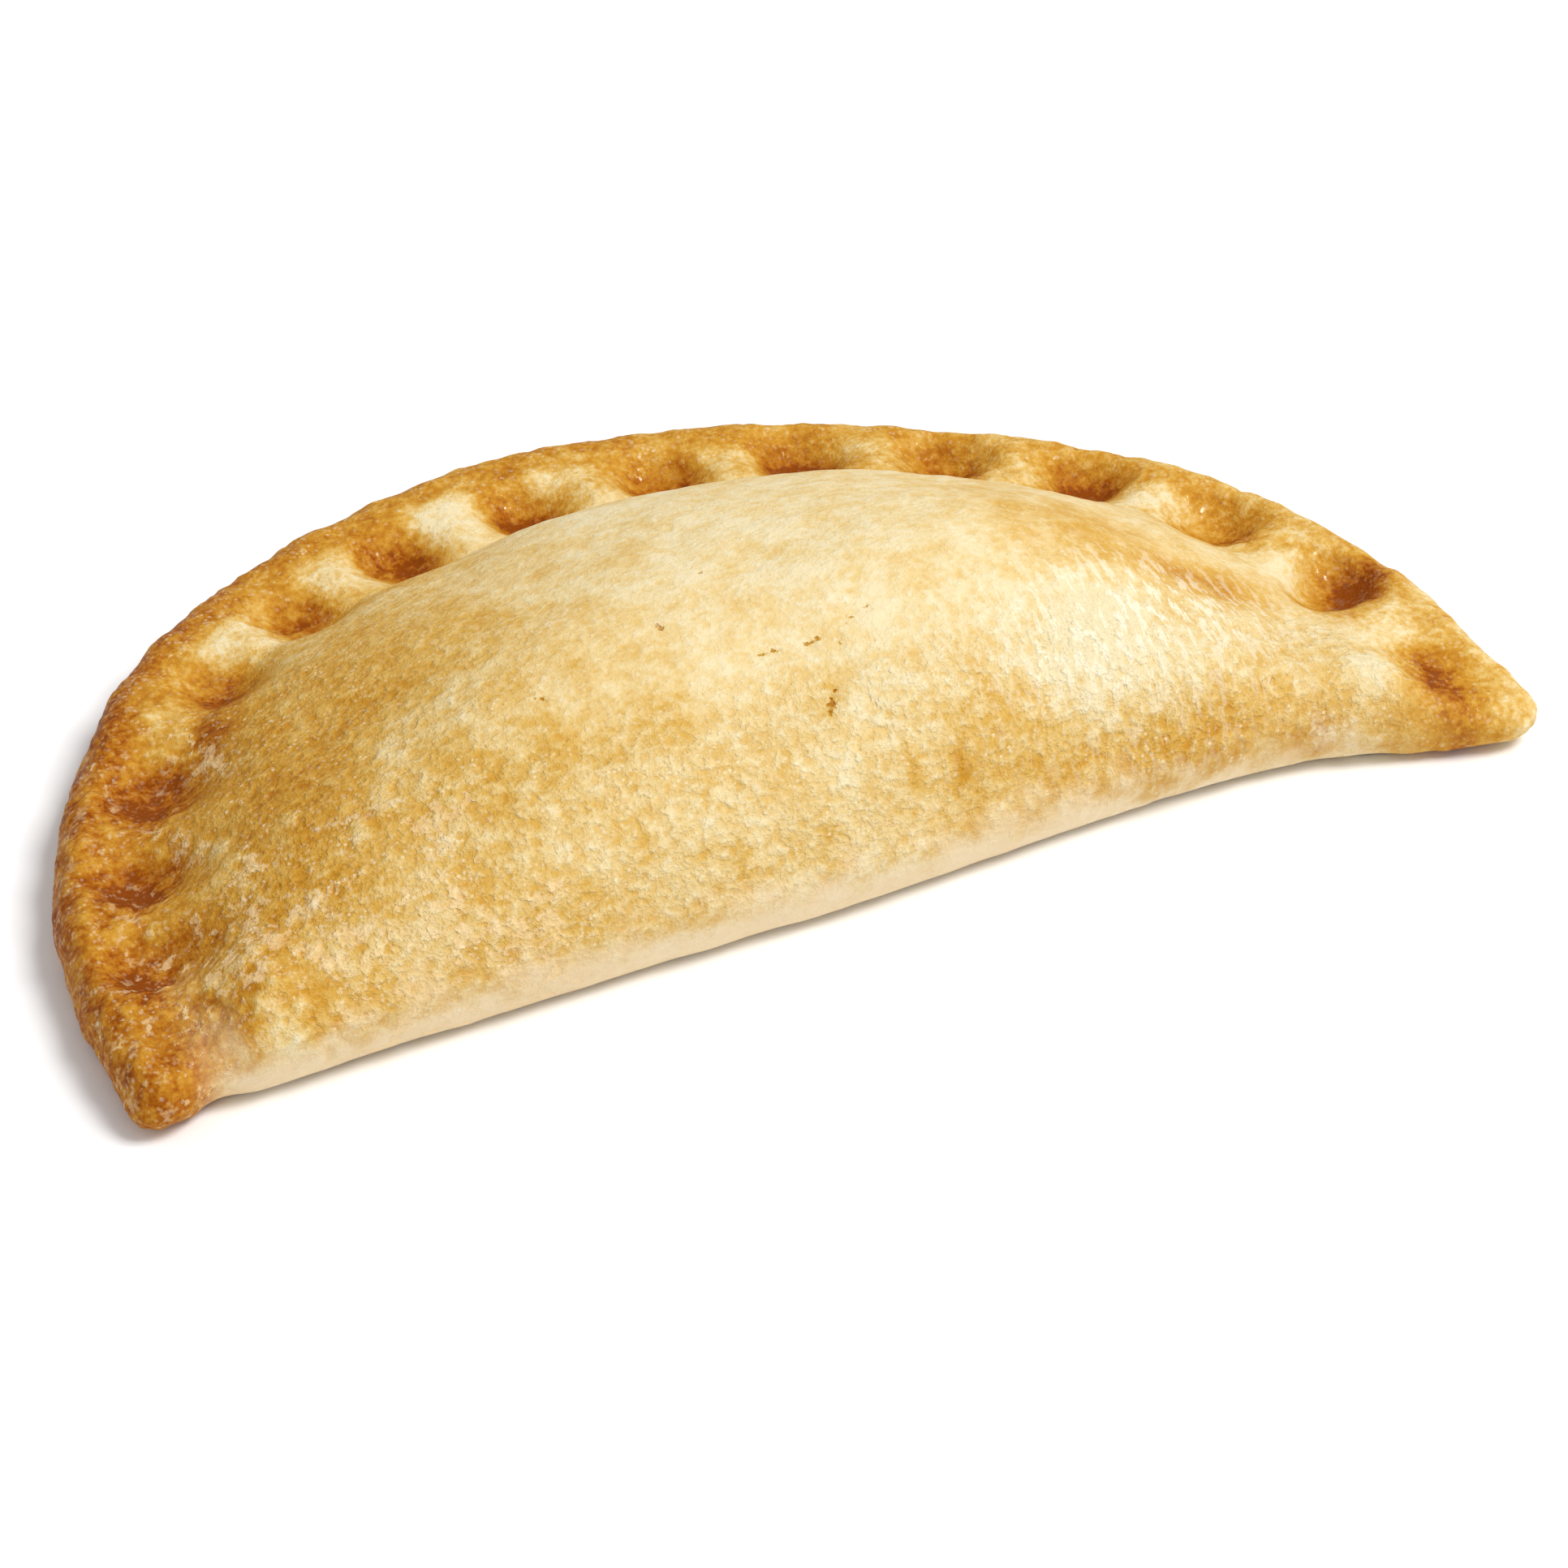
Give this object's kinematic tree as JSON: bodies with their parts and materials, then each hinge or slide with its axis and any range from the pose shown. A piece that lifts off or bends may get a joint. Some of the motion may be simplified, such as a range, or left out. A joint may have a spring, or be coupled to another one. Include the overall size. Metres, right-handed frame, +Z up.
{
  "type": "vegetable empanada",
  "caption": "Baked half-moon pie of pale golden pastry, folded along one side and domed over its filling, with a browned rim pressed shut by a row of finger prints.",
  "frame": {"origin": "middle of the footprint on the flat base, so the pie stands on z = 0", "axes": "+X along the folded edge from its left tip to its right tip, +Y from the fold towards the middle of the pressed rim, +Z up through the dome"},
  "size_m": [0.1678, 0.0918, 0.0289],
  "materials": {
    "crust": "baked pastry, pale straw on the dome and golden brown on the rim, with a light greasy sheen"
  },
  "bodies": {
    "root": {"empanada": "crust"}
  },
  "joints": []
}
